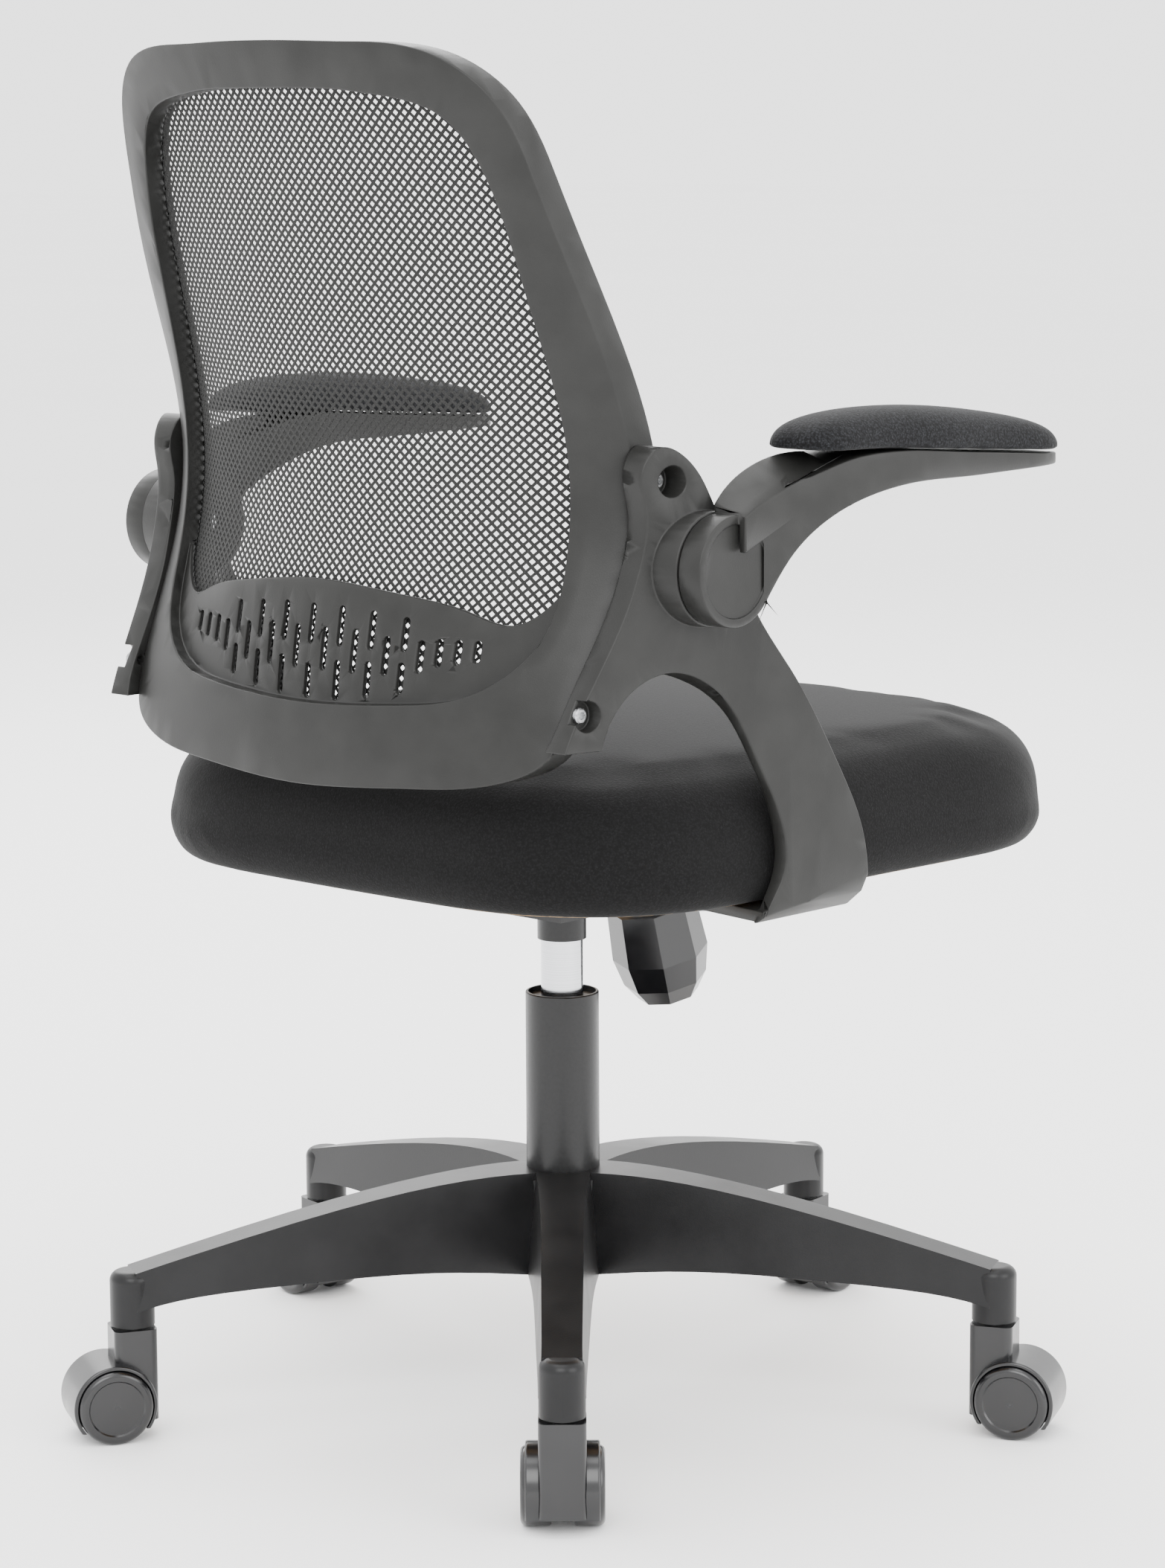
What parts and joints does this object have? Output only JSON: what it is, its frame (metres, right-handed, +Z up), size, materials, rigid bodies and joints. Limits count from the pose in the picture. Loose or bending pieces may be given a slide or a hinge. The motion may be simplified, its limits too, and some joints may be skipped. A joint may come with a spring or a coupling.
{
  "type": "office chair",
  "caption": "Swivel office chair with a mesh back in a moulded frame, a thick upholstered seat, flip-up padded arms, a gas lift and a five-star base on twin-wheel casters.",
  "frame": {"origin": "on the floor, under the middle of the column", "axes": "+Z up, the sitter faces -Y, +X is the sitter's left"},
  "size_m": [0.6668, 0.6595, 0.914],
  "materials": {
    "nylon_black": "satin moulded nylon, near black",
    "nylon_gloss": "glossy black nylon",
    "nylon_grey": "satin charcoal-grey moulded nylon",
    "powder_coat": "satin black powder coat",
    "steel": "zinc-plated steel",
    "bright_rod": "bright chromed steel",
    "fabric_black": "fine woven black polyester",
    "mesh_black": "black knitted mesh",
    "plywood": "bare plywood"
  },
  "bodies": {
    "base": {"base_star": "nylon_black", "column_tube": "powder_coat", "guide_bush": "nylon_black", "thrust_bearing": "steel"},
    "swivel_1": {"caster_hood_1": "nylon_gloss", "caster_stem_1": "steel", "caster_axle_1": "steel"},
    "wheel_left_1": {"caster_wheel_left_1": "nylon_gloss"},
    "wheel_right_1": {"caster_wheel_right_1": "nylon_gloss"},
    "swivel_2": {"caster_hood_2": "nylon_gloss", "caster_stem_2": "steel", "caster_axle_2": "steel"},
    "wheel_left_2": {"caster_wheel_left_2": "nylon_gloss"},
    "wheel_right_2": {"caster_wheel_right_2": "nylon_gloss"},
    "swivel_3": {"caster_hood_3": "nylon_gloss", "caster_stem_3": "steel", "caster_axle_3": "steel"},
    "wheel_left_3": {"caster_wheel_left_3": "nylon_gloss"},
    "wheel_right_3": {"caster_wheel_right_3": "nylon_gloss"},
    "swivel_4": {"caster_hood_4": "nylon_gloss", "caster_stem_4": "steel", "caster_axle_4": "steel"},
    "wheel_left_4": {"caster_wheel_left_4": "nylon_gloss"},
    "wheel_right_4": {"caster_wheel_right_4": "nylon_gloss"},
    "swivel_5": {"caster_hood_5": "nylon_gloss", "caster_stem_5": "steel", "caster_axle_5": "steel"},
    "wheel_left_5": {"caster_wheel_left_5": "nylon_gloss"},
    "wheel_right_5": {"caster_wheel_right_5": "nylon_gloss"},
    "rod": {"piston_rod": "steel", "rod_clip": "steel"},
    "lift": {"gas_cylinder": "bright_rod", "mechanism_housing": "powder_coat", "tilt_pin": "steel", "tension_spring": "steel"},
    "lever": {"height_lever": "powder_coat", "lever_grip": "nylon_black"},
    "button": {"release_button": "steel"},
    "seat": {"seat_plate": "powder_coat", "plate_screws": "steel", "tension_bolt": "steel", "seat_board": "plywood", "seat_cushion": "fabric_black", "back_frame": "nylon_grey", "back_mesh": "mesh_black", "mesh_edge_strip": "nylon_grey", "arm_bracket_left": "nylon_grey", "back_screws_left": "bright_rod", "foot_screws_left": "steel", "arm_pivot_bolt_left": "steel", "arm_bracket_right": "nylon_grey", "back_screws_right": "bright_rod", "foot_screws_right": "steel", "arm_pivot_bolt_right": "steel"},
    "knob": {"tension_knob": "nylon_gloss"},
    "arm_left": {"armrest_left": "nylon_grey", "arm_pad_left": "fabric_black"},
    "arm_right": {"armrest_right": "nylon_grey", "arm_pad_right": "fabric_black"}
  },
  "joints": [
    {"name": "caster_swivel_1", "type": "hinge", "parent": "base", "child": "swivel_1", "pos_m": [-0.20528, 0.22014, 0.08], "axis": [0, 0, 1], "continuous": true},
    {"name": "wheel_spin_left_1", "type": "hinge", "parent": "swivel_1", "child": "wheel_left_1", "pos_m": [-0.19369, 0.2077, 0.025], "axis": [0.7314, 0.682, 0], "continuous": true},
    {"name": "wheel_spin_right_1", "type": "hinge", "parent": "swivel_1", "child": "wheel_right_1", "pos_m": [-0.19369, 0.2077, 0.025], "axis": [0.7314, 0.682, 0], "continuous": true},
    {"name": "caster_swivel_2", "type": "hinge", "parent": "base", "child": "swivel_2", "pos_m": [-0.2728, -0.12721, 0.08], "axis": [0, 0, 1], "continuous": true},
    {"name": "wheel_spin_left_2", "type": "hinge", "parent": "swivel_2", "child": "wheel_left_2", "pos_m": [-0.28821, -0.13439, 0.025], "axis": [0.4226, -0.9063, 0], "continuous": true},
    {"name": "wheel_spin_right_2", "type": "hinge", "parent": "swivel_2", "child": "wheel_right_2", "pos_m": [-0.28821, -0.13439, 0.025], "axis": [0.4226, -0.9063, 0], "continuous": true},
    {"name": "caster_swivel_3", "type": "hinge", "parent": "base", "child": "swivel_3", "pos_m": [0.03668, -0.29876, 0.08], "axis": [0, 0, 1], "continuous": true},
    {"name": "wheel_spin_left_3", "type": "hinge", "parent": "swivel_3", "child": "wheel_left_3", "pos_m": [0.03875, -0.31563, 0.025], "axis": [0.9925, 0.1219, 0], "continuous": true},
    {"name": "wheel_spin_right_3", "type": "hinge", "parent": "swivel_3", "child": "wheel_right_3", "pos_m": [0.03875, -0.31563, 0.025], "axis": [0.9925, 0.1219, 0], "continuous": true},
    {"name": "caster_swivel_4", "type": "hinge", "parent": "base", "child": "swivel_4", "pos_m": [0.29547, -0.05743, 0.08], "axis": [0, 0, 1], "continuous": true},
    {"name": "wheel_spin_left_4", "type": "hinge", "parent": "swivel_4", "child": "wheel_left_4", "pos_m": [0.31216, -0.06068, 0.025], "axis": [0.1908, 0.9816, 0], "continuous": true},
    {"name": "wheel_spin_right_4", "type": "hinge", "parent": "swivel_4", "child": "wheel_right_4", "pos_m": [0.31216, -0.06068, 0.025], "axis": [0.1908, 0.9816, 0], "continuous": true},
    {"name": "caster_swivel_5", "type": "hinge", "parent": "base", "child": "swivel_5", "pos_m": [0.14593, 0.26326, 0.08], "axis": [0, 0, 1], "continuous": true},
    {"name": "wheel_spin_left_5", "type": "hinge", "parent": "swivel_5", "child": "wheel_left_5", "pos_m": [0.15417, 0.27813, 0.025], "axis": [-0.8746, 0.4848, 0], "continuous": true},
    {"name": "wheel_spin_right_5", "type": "hinge", "parent": "swivel_5", "child": "wheel_right_5", "pos_m": [0.15417, 0.27813, 0.025], "axis": [-0.8746, 0.4848, 0], "continuous": true},
    {"name": "seat_swivel", "type": "hinge", "parent": "base", "child": "rod", "pos_m": [0, 0, 0.1], "axis": [0, 0, 1], "continuous": true},
    {"name": "seat_height", "type": "slide", "parent": "rod", "child": "lift", "axis": [0, 0, 1], "range_m": [-0.03, 0.07]},
    {"name": "height_lever", "type": "hinge", "parent": "lift", "child": "lever", "pos_m": [0.035, 0, 0.3551], "axis": [0, -1, 0], "range_deg": [0, 6], "stiffness_Nm_per_rad": 6, "springref_deg": -6.88},
    {"name": "release_button", "type": "slide", "parent": "lift", "child": "button", "axis": [0, 0, -1], "range_m": [0, 0.0045]},
    {"name": "seat_tilt", "type": "hinge", "parent": "lift", "child": "seat", "pos_m": [0, -0.032, 0.357], "axis": [-1, 0, 0], "range_deg": [0, 9], "stiffness_Nm_per_rad": 150, "springref_deg": -17.19, "deforming": ["tension_spring"]},
    {"name": "tension_knob", "type": "hinge", "parent": "seat", "child": "knob", "pos_m": [0, -0.099, 0.294], "axis": [0, -0.2588, -0.9659], "range_deg": [-720, 720]},
    {"name": "arm_flip_left", "type": "hinge", "parent": "seat", "child": "arm_left", "pos_m": [0.2525, 0.12, 0.594], "axis": [-1, 0, 0], "range_deg": [0, 92]},
    {"name": "arm_flip_right", "type": "hinge", "parent": "seat", "child": "arm_right", "pos_m": [-0.2525, 0.12, 0.594], "axis": [-1, 0, 0], "range_deg": [0, 92]}
  ],
  "couplings": [
    {"joint": "release_button", "follows": "height_lever", "m_per_rad": 0.039}
  ]
}
